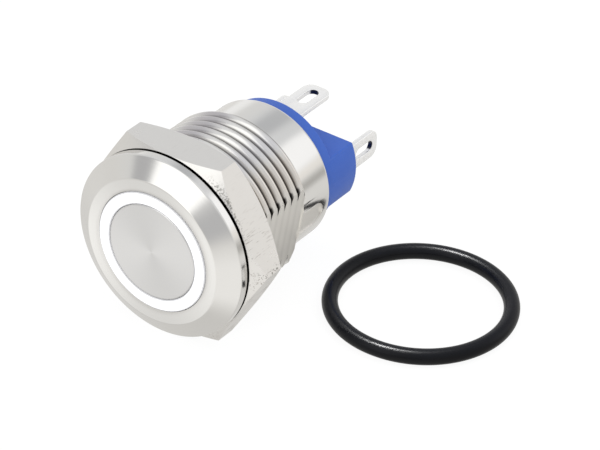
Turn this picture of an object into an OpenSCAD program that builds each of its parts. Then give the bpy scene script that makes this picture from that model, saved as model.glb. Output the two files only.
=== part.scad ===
// Ring-lit anti vandal push button for a 16 mm panel hole, momentary.
// The barrel lies along Y: the pressed face looks to -Y, the terminals to +Y, +Z is up.
// The origin is on the barrel's axis, in the flange's seat face, which meets the panel.
// Millimetres.

/* [Bezel and barrel] */
// Major diameter of the barrel's thread
thread_d = 16; // [14:0.1:20]
// Overhang of the bezel flange beyond the thread, radial
bezel_over = 1; // [0.6:0.1:2]
// Thickness of the flange from the pressed face to the seat face
flange_t = 2; // [1.8:0.1:3]
// Width of the bezel's flat front annulus
bezel_face_w = 1.2; // [0.6:0.1:1.6]
// Length of the bezel's chamfer along the axis
bezel_chamfer = 1.2; // [0.6:0.1:1.5]
// Pitch of the thread
thread_pitch = 1; // [0.75:0.05:1.5]
// Length of the threaded stretch behind the seat face
thread_len = 11.1; // [11:0.1:13]
// Chamfer at the thread's rear end
thread_chamfer = 0.6; // [0.3:0.05:0.8]
// Step down from the thread's crests to the plain sleeve, radial
sleeve_step = 1; // [0.7:0.05:1.2]
// Rounding of the sleeve's rear rim
sleeve_round = 0.4; // [0.2:0.05:0.45]
// Depth of the anti-rotation flat below the sleeve's surface
flat_depth = 0.3; // [0.1:0.01:0.4]
// Angle of the flat below the horizontal
flat_angle = 9; // [0:1:20]
// How far the flat's pocket runs into the plain sleeve
flat_run = 3.1; // [2:0.1:3.4]
// Width of the flat's pocket in the plain sleeve
pocket_w = 2.4; // [1.6:0.1:3]

/* [Bore] */
// Wall of the plain sleeve around the rear bore
sleeve_wall = 0.55; // [0.4:0.01:0.7]
// Width of the ledge that the lamp board seats on
board_ledge = 0.25; // [0.1:0.01:0.5]
// Width of the plunger's stop shoulder
stop_ledge = 0.27; // [0.15:0.01:0.5]
// Depth of the plunger's stop shoulder behind the seat face
shoulder_y = 1.5; // [1.3:0.1:1.9]
// Depth of the step that the lamp board seats on
board_y = 5.9; // [5.8:0.1:6.4]

/* [Nut and panel seal] */
// Thickness of the nut
nut_t = 3.55; // [3:0.05:4.5]
// Gap between the seat face and the nut as shown
nut_gap = 0.3; // [0.1:0.05:4]
// Angle of the nut's corner chamfers
nut_chamfer_angle = 30; // [20:1:35]
// Radial clearance between the thread's crests and the nut
nut_clear = 0.05; // [0.02:0.01:0.1]
// How much smaller than the thread the panel seal is at rest, radial
seal_stretch = 0.5; // [0.2:0.05:1]
// Cross-section diameter of the panel seal
seal_section = 1.5; // [1:0.1:2]
// Place of the panel seal beside the switch, across the barrel
seal_x = 16.7; // [16.5:0.1:24]
// Place of the panel seal beside the switch, along the barrel
seal_y = 16.2; // [10:0.1:20]

/* [Plunger] */
// Travel of the button
travel = 1.2; // [0.8:0.05:1.3]
// Width of the lit ring's front face around the metal cap
ring_face_w = 1.18; // [0.8:0.02:1.8]
// Thickness of the metal cap
cap_t = 0.8; // [0.6:0.05:1.2]
// Diameter of the cap's stem
cap_stem_d = 3; // [2:0.1:3.4]
// Running clearance of the plunger in its bore, radial
run_clear = 0.05; // [0.03:0.01:0.08]
// Length of the lit ring's guided stretch behind the seat face
guide_len = 3.2; // [2.9:0.1:3.6]
// Thickness of the plunger's stop collar
collar_t = 0.8; // [0.5:0.1:1]
// Cross-section diameter of the plunger's seal
plunger_seal_section = 0.66; // [0.5:0.02:0.8]
// Diameter of the pusher's stem
stem_d = 4; // [3.6:0.1:4.4]
// Diameter of the pusher's flange
pusher_flange_d = 7.2; // [6:0.1:8]

/* [Contacts] */
// Length of the contact bridge
bridge_len = 8.2; // [7.6:0.1:8.4]
// Width of the contact bridge
bridge_w = 2.4; // [1.6:0.1:2.6]
// Thickness of the contact bridge
bridge_t = 0.35; // [0.25:0.05:0.5]
// Depth of the bridge's rear face behind the seat face at rest
bridge_y = 8.4; // [8.2:0.1:8.8]
// Diameter of the contact tips
tip_d = 1.6; // [1.2:0.1:1.8]
// Height of a contact tip
tip_h = 0.3; // [0.2:0.05:0.4]
// Gap that is left between the tips at full travel
tip_gap = 0.05; // [0.03:0.01:0.1]
// Distance of the contact tips from the axis
tip_x = 3.3; // [3:0.1:3.4]

/* [Terminals] */
// Width of a terminal blade
blade_w = 2.8; // [2:0.1:2.8]
// Thickness of a terminal blade
blade_t = 0.5; // [0.4:0.05:0.6]
// Distance of the switch terminals from the base's outer skirt
switch_inset = 1.5; // [1.45:0.05:1.8]
// Rear end of the switch terminals
switch_blade_end = 25.3; // [23.5:0.1:28]
// Distance of the lamp terminals from the base's outer skirt
lamp_inset = 1.8; // [1.5:0.05:1.9]
// Rear end of the lamp terminals
lamp_blade_end = 23.3; // [21.5:0.1:26]
// Corner rounding of a blade's end
blade_round = 1; // [0.4:0.1:1]
// Width of the wire slot in a blade
slot_w = 1.1; // [0.8:0.1:1.2]
// Length of the wire slot
slot_len = 2.6; // [2:0.1:3]
// Metal left behind the wire slot
slot_margin = 0.8; // [0.6:0.1:1]

/* [Lamp] */
// Thickness of the lamp board
board_t = 0.8; // [0.6:0.1:1]
// Clearance around the pusher's stem in the board, radial
board_clear = 0.5; // [0.3:0.05:0.7]
// Number of lamps on the board
led_count = 4; // [3:1:6]
// Distance of the lamps' middles from the bore's wall
led_inset = 1.7; // [1.3:0.1:2]
// Length of a lamp
led_l = 1.6; // [1:0.1:2]
// Width of a lamp
led_w = 1.2; // [0.8:0.1:1.4]
// Height of a lamp without its lens
led_h = 0.35; // [0.25:0.05:0.6]
// Diameter of a lamp's lens
lens_d = 1; // [0.6:0.1:1.2]
// Height of a lamp's lens
lens_h = 0.2; // [0.1:0.05:0.3]
// Length of a resistor
chip_l = 2; // [1.2:0.1:2.2]
// Width of a resistor
chip_w = 1.2; // [0.6:0.1:1.4]
// Height of a resistor
chip_h = 0.5; // [0.3:0.05:0.7]
// Diameter of a lamp lead
lead_d = 0.5; // [0.4:0.05:0.6]

/* [Rear base] */
// How far the base's round plug stands out behind the sleeve
base_rim_t = 1.5; // [0.6:0.1:2]
// Width of the bar that carries the switch terminals
bar_w = 5.3; // [4.4:0.1:6.4]
// Height of the bar behind the round plug
bar_h = 3.4; // [2:0.1:5]
// Wall of the base's skirt inside the sleeve
skirt_t = 0.75; // [0.6:0.05:0.8]
// Depth of the skirt inside the sleeve
skirt_len = 2.1; // [1.8:0.1:2.4]
// Air between the contact cage and the potting in the base
resin_gap = 0.55; // [0.4:0.05:1.5]
// How far the potting stops short of the skirt's inner edge
resin_short = 0.3; // [0.1:0.05:0.6]
// Clearance of pieces that drop into the sleeve, radial
drop_clear = 0.05; // [0.03:0.01:0.1]

/* [Springs] */
// Wire diameter of the return spring
return_wire_d = 0.35; // [0.25:0.05:0.4]
// Mean diameter of the return spring
return_mean_d = 2.5; // [2.3:0.1:2.6]
// Turns of the return spring
return_turns = 5; // [3:0.5:6]
// Wire diameter of the contact spring
contact_wire_d = 0.25; // [0.2:0.05:0.3]
// Mean diameter of the contact spring
contact_mean_d = 1.8; // [1.5:0.1:1.9]
// Turns of the contact spring
contact_turns = 5; // [3:0.5:7]

/* [Hidden] */
$fn = 96;

slip = 0.02;       // clearance of pieces that are joined to each other
past = 0.5;        // how far a cutting shape runs past what it cuts

thread_depth = 0.6134; // depth of a 60 degree thread, as a share of its pitch

front_y = -flange_t;
bezel_d = thread_d + 2 * bezel_over;
nut_af = bezel_d;  // the nut and the bezel rest on the same table
sleeve_d = thread_d - 2 * sleeve_step;
rear_bore_d = sleeve_d - 2 * sleeve_wall;
collar_bore_d = rear_bore_d - 2 * board_ledge;
guide_bore_d = collar_bore_d - 2 * stop_ledge;
bezel_flat_d = guide_bore_d + 2 * bezel_face_w;
seal_id = thread_d - 2 * seal_stretch;
thread_root_d = thread_d - 2 * thread_depth * thread_pitch;
crest_half = thread_pitch / 16;
root_half = thread_pitch / 8;
first_groove = 0.9 * thread_pitch;
groove_count = floor((thread_len - thread_chamfer - first_groove - thread_pitch / 2) / thread_pitch) + 1;
flat_start = 0.2;
flat_over = 0.3;    // how far the wide cut runs past the thread, clear of the sleeve
flat_dist = sleeve_d / 2 - flat_depth;
pocket_r = pocket_w / 2;

ring_d = guide_bore_d - 2 * run_clear;
cap_d = ring_d - 2 * ring_face_w;
collar_y = shoulder_y + run_clear;
collar_d = collar_bore_d - 0.2;
groove_d = ring_d - 2 * plunger_seal_section - 0.04;
seal_groove_w = plunger_seal_section + 0.3;
seal_groove_y = -0.2;
stem_cover = 1;    // material of the lit ring behind the cap's stem
stem_depth = flange_t + guide_len - stem_cover;
pusher_flange_t = 0.6;

bridge_front = bridge_y - bridge_t;
moving_tip_end = bridge_y + tip_h;
fixed_tip_front = moving_tip_end + travel + tip_gap;
foot_y = fixed_tip_front + tip_h;
spring_face_y = bridge_y + 0.45;
head_end = bridge_y + 0.7;
spring_bore_d = contact_mean_d + contact_wire_d + 0.3;
spring_seat_y = 5;

floor_y = foot_y + blade_t;
floor_t = 0.8;
well_bore_d = return_mean_d + return_wire_d + 0.35;
well_wall = 0.5;
well_depth = 1.7;
well_floor_y = floor_y + well_depth;
well_floor_t = 0.5;
plug_d = rear_bore_d - 2 * drop_clear;  // the cage, the board and the base drop into the rear bore
switch_blade_x = plug_d / 2 - switch_inset;
lamp_blade_z = plug_d / 2 - lamp_inset;
blade_reach = sqrt(pow(switch_blade_x + blade_t / 2, 2) + pow(blade_w / 2, 2));
bridge_reach = sqrt(pow(bridge_len / 2, 2) + pow(bridge_w / 2, 2));
cage_bore_r = max(blade_reach, bridge_reach) + drop_clear;
board_d = plug_d;
board_hole_d = stem_d + 2 * board_clear;
led_r = collar_bore_d / 2 - led_inset;
board_back = board_y + board_t;

resin_t = skirt_len - resin_short;
sleeve_end = well_floor_y + well_floor_t + resin_gap + resin_t;
skirt_y = sleeve_end - skirt_len;
rim_back = sleeve_end + base_rim_t;
bar_back = rim_back + bar_h;
lead_z = lamp_blade_z - blade_t / 2 - lead_d / 2 - slip;
lamp_blade_run = 0.9;  // how far a lamp terminal runs in past the skirt
lead_lap = 1;      // how far a lead runs along its lamp terminal
lamp_blade_start = skirt_y - lamp_blade_run;

// Turns a shape that was drawn along Z so that it lies along Y
module along_barrel() { rotate([-90, 0, 0]) children(); }

// Places a shape at a depth behind the seat face
module at_depth(y) { translate([0, y, 0]) along_barrel() children(); }

module disc(d, y0, y1) { at_depth(y0) cylinder(d = d, h = y1 - y0); }

module tube(d_out, d_in, y0, y1) {
    difference() {
        disc(d_out, y0, y1);
        disc(d_in, y0 - past, y1 + past);
    }
}

// The barrel's outline from the seat face back: crests, grooves, chamfer and sleeve
function groove_points(y) = [
    [thread_d / 2, y - thread_pitch / 2 + crest_half],
    [thread_root_d / 2, y - root_half],
    [thread_root_d / 2, y + root_half],
    [thread_d / 2, y + thread_pitch / 2 - crest_half]];

function round_points(r, y, a0, a1, radius, steps) =
    [for (i = [0:steps]) let (a = a0 + (a1 - a0) * i / steps) [r + radius * cos(a), y + radius * sin(a)]];

shell_outline = concat(
    [[guide_bore_d / 2, front_y], [bezel_flat_d / 2, front_y],
     [bezel_d / 2, front_y + bezel_chamfer], [bezel_d / 2, 0], [thread_d / 2, 0]],
    [for (i = [0:groove_count - 1]) each groove_points(first_groove + i * thread_pitch)],
    [[thread_d / 2, thread_len - thread_chamfer],
     [thread_d / 2 - thread_chamfer, thread_len], [sleeve_d / 2, thread_len]],
    round_points(sleeve_d / 2 - sleeve_round, sleeve_end - sleeve_round, 0, 90, sleeve_round, 6),
    [[rear_bore_d / 2, sleeve_end], [rear_bore_d / 2, board_y], [collar_bore_d / 2, board_y],
     [collar_bore_d / 2, shoulder_y], [guide_bore_d / 2, shoulder_y]]);

// The flat is milled from the side and its pocket ends in the cutter's radius
module flat_cutter() {
    pocket_end = thread_len + flat_run - pocket_r;
    rotate([0, flat_angle, 0])
        translate([flat_dist, 0, 0])
            rotate([0, 90, 0])
                linear_extrude(height = thread_d / 2 - flat_dist + past) {
                    translate([-thread_d / 2, flat_start]) square([thread_d, thread_len + flat_over - flat_start]);
                    translate([-pocket_r, flat_start]) square([2 * pocket_r, pocket_end - flat_start]);
                    translate([0, pocket_end]) circle(r = pocket_r);
                }
}

module shell() {
    color("gainsboro")
        difference() {
            along_barrel() rotate_extrude() polygon(shell_outline);
            flat_cutter();
        }
}

module hex_nut() {
    corner_r = nut_af / 2 / cos(30);
    drop = (corner_r - nut_af / 2) * tan(nut_chamfer_angle);
    bore_r = thread_d / 2 + nut_clear;
    lead_in = 0.4;
    color("silver")
        at_depth(nut_gap)
            difference() {
                intersection() {
                    cylinder(r = corner_r, h = nut_t, $fn = 6);
                    rotate_extrude()
                        polygon([[0, 0], [nut_af / 2, 0], [corner_r + 0.01, drop],
                                 [corner_r + 0.01, nut_t - drop], [nut_af / 2, nut_t], [0, nut_t]]);
                }
                rotate_extrude()
                    polygon([[0, -past], [bore_r + lead_in, -past], [bore_r + lead_in, 0], [bore_r, lead_in],
                             [bore_r, nut_t - lead_in], [bore_r + lead_in, nut_t],
                             [bore_r + lead_in, nut_t + past], [0, nut_t + past]]);
            }
}

// The seal is shown taken off, flat on the surface that the bezel rests on
module panel_seal() {
    color("black")
        translate([seal_x, seal_y, -bezel_d / 2 + seal_section / 2])
            rotate_extrude() translate([(seal_id + seal_section) / 2, 0]) circle(d = seal_section, $fn = 32);
}

module button_cap() {
    edge = 0.12;
    color("silver")
        at_depth(front_y)
            rotate_extrude()
                polygon([[0, 0], [cap_d / 2 - edge, 0], [cap_d / 2, edge], [cap_d / 2, cap_t],
                         [cap_stem_d / 2, cap_t], [cap_stem_d / 2, stem_depth - edge],
                         [cap_stem_d / 2 - edge, stem_depth], [0, stem_depth]]);
}

module light_ring() {
    color("white")
        difference() {
            union() {
                disc(ring_d, front_y, guide_len);
                disc(collar_d, collar_y, collar_y + collar_t);
            }
            disc(cap_d + 2 * slip, front_y - past, front_y + cap_t);
            disc(cap_stem_d + 2 * slip, front_y, front_y + stem_depth);
            tube(ring_d + 2 * past, groove_d, seal_groove_y, seal_groove_y + seal_groove_w);
        }
}

module plunger_seal() {
    color("dimgray")
        at_depth(seal_groove_y + seal_groove_w / 2)
            rotate_extrude()
                translate([(ring_d - plunger_seal_section) / 2, 0])
                    circle(d = plunger_seal_section, $fn = 24);
}

module pusher() {
    window_h = bridge_t + 0.45;
    color("ivory")
        difference() {
            union() {
                disc(pusher_flange_d, guide_len, guide_len + pusher_flange_t);
                disc(stem_d, guide_len, head_end);
            }
            disc(spring_bore_d, spring_seat_y, bridge_y);
            translate([-stem_d, bridge_y - window_h, -bridge_w / 2 - slip])
                cube([2 * stem_d, window_h, bridge_w + 2 * slip]);
            disc(well_bore_d - 0.2, spring_face_y, head_end + past);
        }
}

module contact_bridge() {
    notch = 0.35;
    color("goldenrod")
        difference() {
            translate([-bridge_len / 2, bridge_front, -bridge_w / 2]) cube([bridge_len, bridge_t, bridge_w]);
            for (side = [-1, 1])
                translate([0, bridge_front - past, side * bridge_w / 2])
                    along_barrel() cylinder(r = notch, h = bridge_t + 2 * past, $fn = 32);
        }
}

module tips(y0, y1) {
    for (side = [-1, 1]) translate([side * tip_x, 0, 0]) disc(tip_d, y0, y1);
}

module bridge_contacts() { color("silver") tips(bridge_y, moving_tip_end); }

module fixed_contacts() { color("silver") tips(fixed_tip_front, foot_y); }

// A coil of round wire along Y, with rings of points that run round the helix
module coil(mean_d, wire_d, turns, y0, y1) {
    per_turn = 20;
    sides = 8;
    n = turns * per_turn;
    rise = y1 - y0 - wire_d;
    centre = [for (i = [0:n]) let (a = 360 * i / per_turn)
        [mean_d / 2 * cos(a), y0 + wire_d / 2 + rise * i / n, mean_d / 2 * sin(a)]];
    points = [for (i = [0:n]) let (a = 360 * i / per_turn) for (k = [0:sides - 1])
        let (b = 360 * k / sides, w = wire_d / 2)
            centre[i] + [w * cos(b) * cos(a), w * sin(b), w * cos(b) * sin(a)]];
    walls = [for (i = [0:n - 1]) for (k = [0:sides - 1]) let (j = (k + 1) % sides)
        each [[i * sides + k, i * sides + j, (i + 1) * sides + j],
              [i * sides + k, (i + 1) * sides + j, (i + 1) * sides + k]]];
    ends = [[for (k = [sides - 1:-1:0]) k], [for (k = [0:sides - 1]) n * sides + k]];
    polyhedron(points = points, faces = concat(walls, ends));
}

module contact_spring() {
    color("darkgray") coil(contact_mean_d, contact_wire_d, contact_turns, spring_seat_y + slip, bridge_front - slip);
}

module return_spring() {
    color("darkgray")
        coil(return_mean_d, return_wire_d, return_turns, spring_face_y + slip, well_floor_y - slip);
}

module led_board() {
    color("darkgreen")
        difference() {
            disc(board_d, board_y, board_back);
            disc(board_hole_d, board_y - past, board_back + past);
            for (side = [-1, 1])
                translate([0, 0, side * lead_z]) disc(lead_d + 2 * slip, board_y - past, board_back + past);
        }
}

module leds() {
    color("lightyellow")
        for (i = [0:led_count - 1]) rotate([0, 45 + 360 * i / led_count, 0]) translate([led_r, 0, 0]) {
            translate([-led_w / 2, board_y - led_h, -led_l / 2]) cube([led_w, led_h, led_l]);
            disc(lens_d, board_y - led_h - lens_h, board_y - led_h);
        }
}

module led_resistors() {
    color("black")
        for (side = [-1, 1])
            translate([side * led_r - chip_w / 2, board_back, -chip_l / 2]) cube([chip_w, chip_h, chip_l]);
}

module led_lead(side) {
    color("silver")
        translate([0, 0, side * lead_z]) disc(lead_d, board_y - 0.3, lamp_blade_start + lead_lap);
}

module led_lead_top() { led_lead(1); }

module led_lead_bottom() { led_lead(-1); }

module contact_cage() {
    color("beige")
        difference() {
            union() {
                tube(plug_d, 2 * cage_bore_r, board_back, skirt_y);
                disc(plug_d, floor_y, floor_y + floor_t);
                disc(well_bore_d + 2 * well_wall, floor_y, well_floor_y + well_floor_t);
            }
            disc(well_bore_d, floor_y - past, well_floor_y);
            for (side = [-1, 1]) {
                translate([0, 0, side * lead_z])
                    disc(lead_d + 2 * drop_clear, floor_y - past, floor_y + floor_t + past);
                translate([side * switch_blade_x, 0, 0]) blade_hole(floor_y - past, floor_y + floor_t + past);
            }
        }
}

// A slot that a blade passes through, its thickness along X
module blade_hole(y0, y1) {
    translate([-blade_t / 2 - slip, y0, -blade_w / 2 - slip])
        cube([blade_t + 2 * slip, y1 - y0, blade_w + 2 * slip]);
}

// A flat blade along Y with rounded end corners and a wire slot, its thickness along X
module blade(y0, y1) {
    slot_end = y1 - slot_margin - slot_w / 2;
    slot_start = slot_end - slot_len + slot_w;
    translate([-blade_t / 2, 0, 0])
        rotate([0, 90, 0])
            linear_extrude(height = blade_t)
                difference() {
                    union() {
                        translate([-blade_w / 2, y0]) square([blade_w, y1 - blade_round - y0]);
                        translate([-blade_w / 2 + blade_round, y0]) square([blade_w - 2 * blade_round, y1 - y0]);
                        for (side = [-1, 1])
                            translate([side * (blade_w / 2 - blade_round), y1 - blade_round])
                                circle(r = blade_round, $fn = 48);
                    }
                    translate([-slot_w / 2, slot_start]) square([slot_w, slot_end - slot_start]);
                    for (y = [slot_start, slot_end]) translate([0, y]) circle(d = slot_w, $fn = 32);
                }
}

// The blade and the foot that is bent in towards the axis to carry the fixed contact
module switch_terminal(side) {
    foot_in = tip_x - tip_d / 2 - 0.1;
    foot_out = switch_blade_x + blade_t / 2;
    color("whitesmoke")
        mirror([side < 0 ? 1 : 0, 0, 0]) {
            translate([switch_blade_x, 0, 0]) blade(foot_y, switch_blade_end);
            translate([foot_in, foot_y, -blade_w / 2]) cube([foot_out - foot_in, blade_t, blade_w]);
        }
}

module switch_terminal_left() { switch_terminal(-1); }

module switch_terminal_right() { switch_terminal(1); }

module led_terminal(side) {
    color("whitesmoke")
        translate([0, 0, side * lamp_blade_z]) rotate([0, 90, 0]) blade(lamp_blade_start, lamp_blade_end);
}

module led_terminal_top() { led_terminal(1); }

module led_terminal_bottom() { led_terminal(-1); }

module blade_holes(y0, y1) {
    for (side = [-1, 1]) {
        translate([side * switch_blade_x, 0, 0]) blade_hole(y0, y1);
        translate([0, 0, side * lamp_blade_z]) rotate([0, 90, 0]) blade_hole(y0, y1);
    }
}

module sealing_resin() {
    color("dimgray")
        difference() {
            disc(plug_d - 2 * skirt_t - 2 * slip, sleeve_end - resin_t, sleeve_end);
            blade_holes(skirt_y, sleeve_end + past);
        }
}

module rear_base() {
    color("royalblue")
        difference() {
            union() {
                tube(plug_d, plug_d - 2 * skirt_t, skirt_y, sleeve_end);
                disc(plug_d, sleeve_end, rim_back);
                intersection() {
                    disc(plug_d, sleeve_end, bar_back);
                    translate([-plug_d / 2, sleeve_end, -bar_w / 2])
                        cube([plug_d, bar_back - sleeve_end, bar_w]);
                }
            }
            blade_holes(sleeve_end - past, bar_back + past);
        }
}

shell();
hex_nut();
panel_seal();
button_cap();
light_ring();
plunger_seal();
pusher();
contact_bridge();
bridge_contacts();
contact_spring();
return_spring();
led_board();
leds();
led_resistors();
led_lead_top();
led_lead_bottom();
contact_cage();
fixed_contacts();
switch_terminal_left();
switch_terminal_right();
led_terminal_top();
led_terminal_bottom();
sealing_resin();
rear_base();
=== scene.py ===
import math

import bmesh
import bpy
from mathutils import Matrix, Vector


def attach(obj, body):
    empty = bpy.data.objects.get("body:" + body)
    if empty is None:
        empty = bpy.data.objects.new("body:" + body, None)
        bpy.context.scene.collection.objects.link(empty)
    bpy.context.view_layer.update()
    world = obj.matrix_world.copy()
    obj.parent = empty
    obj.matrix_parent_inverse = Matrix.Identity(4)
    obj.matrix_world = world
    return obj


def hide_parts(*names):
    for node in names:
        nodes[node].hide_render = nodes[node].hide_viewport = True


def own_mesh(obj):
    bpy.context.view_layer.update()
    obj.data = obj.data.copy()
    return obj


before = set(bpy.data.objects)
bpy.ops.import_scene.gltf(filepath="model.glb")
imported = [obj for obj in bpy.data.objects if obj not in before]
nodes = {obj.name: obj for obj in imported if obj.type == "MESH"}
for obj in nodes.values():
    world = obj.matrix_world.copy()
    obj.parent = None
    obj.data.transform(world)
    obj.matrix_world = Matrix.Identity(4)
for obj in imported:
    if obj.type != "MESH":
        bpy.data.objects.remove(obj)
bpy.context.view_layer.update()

mm = 0.001

# Every size below is in millimetres, and each mesh is brought to metres when it is finished.
barrel = {
    "bezelRadius": 9.0,
    "bezelFlatRadius": 7.13,
    "flangeThick": 2.0,
    "bezelChamfer": 1.2,
    "threadRadius": 8.0,
    "threadRoot": 7.387,
    "threadPitch": 1.0,
    "threadLength": 11.1,
    "threadChamfer": 0.6,
    "sleeveRadius": 7.0,
    "sleeveEnd": 15.3,
    "boreRadius": 5.93,
    "shoulderY": 1.5,
    "collarBore": 6.2,
    "boardY": 5.9,
    "rearBore": 6.45,
}


def spot(x, y, z):
    return Vector((x, y, z))


def latheProfile(points, steps=256, closed=True):
    # points are (radius, depth along the barrel); the outline is turned about Y
    bm = bmesh.new()
    ring = [bm.verts.new((r, y, 0)) for r, y in points]
    pairs = list(zip(ring, ring[1:]))
    if closed:
        pairs.append((ring[-1], ring[0]))
    edges = [bm.edges.new(pair) for pair in pairs]
    bmesh.ops.spin(bm, geom=ring + edges, cent=(0, 0, 0), axis=(0, 1, 0), dvec=(0, 0, 0),
                   angle=math.tau, steps=steps, use_merge=True, use_duplicate=False)
    bmesh.ops.remove_doubles(bm, verts=bm.verts, dist=1e-5)
    bmesh.ops.recalc_face_normals(bm, faces=bm.faces)
    return bm


def softenEdges(bm, width, segments=2, angle=math.radians(20)):
    sharp = [e for e in bm.edges if len(e.link_faces) == 2 and e.calc_face_angle(0) > angle]
    bmesh.ops.bevel(bm, geom=sharp, offset=width, offset_type="OFFSET", affect="EDGES",
                    segments=segments, profile=0.5, material=-1, clamp_overlap=True)


def meshObject(name, bm):
    mesh = bpy.data.meshes.new(name)
    bm.to_mesh(mesh)
    bm.free()
    obj = bpy.data.objects.new(name, mesh)
    bpy.context.scene.collection.objects.link(obj)
    return obj


def combine(obj, tool, how):
    # cuts or joins with an exact boolean, applies it and deletes the tool
    bpy.context.view_layer.objects.active = obj
    mod = obj.modifiers.new("combine", "BOOLEAN")
    mod.operation = how
    mod.solver = "EXACT"
    mod.object = tool
    bpy.ops.object.modifier_apply(modifier=mod.name)
    bpy.data.objects.remove(tool)
    return obj


def finishPiece(obj, material, body, replaced, sharpAngle=32):
    obj.data.transform(Matrix.Scale(mm, 4))
    obj.data.materials.clear()
    obj.data.materials.append(material)
    obj.data.shade_smooth()
    obj.data.set_sharp_from_angle(angle=math.radians(sharpAngle))
    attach(obj, body)
    if replaced:
        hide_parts(*replaced)
    return obj


# materials


def newGroup(name, inputs, outputs):
    tree = bpy.data.node_groups.new(name, "ShaderNodeTree")
    for label, kind, value in inputs:
        socket = tree.interface.new_socket(name=label, in_out="INPUT", socket_type=kind)
        if value is not None:
            socket.default_value = value
    for label, kind in outputs:
        tree.interface.new_socket(name=label, in_out="OUTPUT", socket_type=kind)
    return tree, tree.nodes.new("NodeGroupInput"), tree.nodes.new("NodeGroupOutput")


def mathNode(tree, how, a, b=None, clamp=False):
    node = tree.nodes.new("ShaderNodeMath")
    node.operation = how
    node.use_clamp = clamp
    for i, value in enumerate((a, b)):
        if value is None:
            continue
        if isinstance(value, (int, float)):
            node.inputs[i].default_value = value
        else:
            tree.links.new(value, node.inputs[i])
    return node.outputs[0]


def noiseNode(tree, vector, scale, detail=2.0, rough=0.5):
    node = tree.nodes.new("ShaderNodeTexNoise")
    node.inputs["Scale"].default_value = scale
    node.inputs["Detail"].default_value = detail
    node.inputs["Roughness"].default_value = rough
    tree.links.new(vector, node.inputs["Vector"])
    return node.outputs["Fac"]


def mixColor(tree, factor, a, b):
    node = tree.nodes.new("ShaderNodeMix")
    node.data_type = "RGBA"
    tree.links.new(factor, node.inputs["Factor"])
    for label, value in (("A", a), ("B", b)):
        socket = [s for s in node.inputs if s.name == label and s.type == "RGBA"][0]
        if isinstance(value, tuple):
            socket.default_value = value
        else:
            tree.links.new(value, socket)
    return [s for s in node.outputs if s.type == "RGBA"][0]


def bumpNode(tree, height, distance, strength):
    node = tree.nodes.new("ShaderNodeBump")
    node.inputs["Strength"].default_value = 1.0
    tree.links.new(height, node.inputs["Height"])
    for label, value in (("Distance", distance), ("Strength", strength)):
        if isinstance(value, (int, float)):
            node.inputs[label].default_value = value
        else:
            tree.links.new(value, node.inputs[label])
    return node.outputs["Normal"]


def makeLatheFinishAndSheen():
    # lines left by a lathe: they run round the barrel, so they follow radius and depth only; random stains and a
    # painted sheen go into the colour
    tree, gin, gout = newGroup(
        "latheFinishAndSheen",
        [("Tone", "NodeSocketColor", (0.7, 0.7, 0.7, 1)), ("Dark Tone", "NodeSocketColor", (0.6, 0.6, 0.6, 1)),
         ("Rough", "NodeSocketFloat", 0.15), ("Rough Spread", "NodeSocketFloat", 0.05),
         ("Line Depth", "NodeSocketFloat", 0.2), ("Stain", "NodeSocketFloat", 0.3),
         ("Wedge", "NodeSocketFloat", 0.0), ("Wedge Angle", "NodeSocketFloat", 0.35)],
        [("Color", "NodeSocketColor"), ("Roughness", "NodeSocketFloat"), ("Normal", "NodeSocketVector")])
    coord = tree.nodes.new("ShaderNodeTexCoord")
    split = tree.nodes.new("ShaderNodeSeparateXYZ")
    tree.links.new(coord.outputs["Object"], split.inputs[0])
    radius = mathNode(tree, "SQRT", mathNode(
        tree, "ADD", mathNode(tree, "MULTIPLY", split.outputs["X"], split.outputs["X"]),
        mathNode(tree, "MULTIPLY", split.outputs["Z"], split.outputs["Z"])))
    across = tree.nodes.new("ShaderNodeCombineXYZ")
    tree.links.new(radius, across.inputs["X"])
    tree.links.new(split.outputs["Y"], across.inputs["Y"])
    lines = noiseNode(tree, across.outputs[0], 9000.0, 3.0, 0.6)
    stain = noiseNode(tree, coord.outputs["Object"], 220.0, 4.0, 0.6)
    stainMask = mathNode(tree, "MULTIPLY", mathNode(tree, "SUBTRACT", stain, 0.35, True), gin.outputs["Stain"], True)
    # painted sheen: on faces that look to the front, the colour is brightened in two soft wedges, a quarter turn apart
    # from its two dull ones, as a turned face spreads light
    angle = mathNode(tree, "ARCTAN2", split.outputs["Z"], split.outputs["X"])
    wave = mathNode(tree, "COSINE", mathNode(tree, "MULTIPLY", mathNode(
        tree, "SUBTRACT", angle, gin.outputs["Wedge Angle"]), 2.0))
    facing = tree.nodes.new("ShaderNodeSeparateXYZ")
    tree.links.new(coord.outputs["Normal"], facing.inputs[0])
    square = mathNode(tree, "MULTIPLY", mathNode(tree, "SUBTRACT", mathNode(
        tree, "MULTIPLY", facing.outputs["Y"], -1.0), 0.9, True), 10.0, True)
    gain = mathNode(tree, "ADD", mathNode(tree, "MULTIPLY", mathNode(
        tree, "MULTIPLY", wave, gin.outputs["Wedge"]), square), 1.0)
    base = mixColor(tree, stainMask, gin.outputs["Tone"], gin.outputs["Dark Tone"])
    lit = tree.nodes.new("ShaderNodeVectorMath")
    lit.operation = "SCALE"
    tree.links.new(base, lit.inputs[0])
    tree.links.new(gain, lit.inputs["Scale"])
    tree.links.new(lit.outputs[0], gout.inputs["Color"])
    wander = mathNode(tree, "MULTIPLY", mathNode(tree, "SUBTRACT", lines, 0.5), gin.outputs["Rough Spread"])
    tree.links.new(mathNode(tree, "ADD", gin.outputs["Rough"], wander, True), gout.inputs["Roughness"])
    tree.links.new(bumpNode(tree, lines, 0.00002, gin.outputs["Line Depth"]), gout.inputs["Normal"])
    return tree


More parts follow.
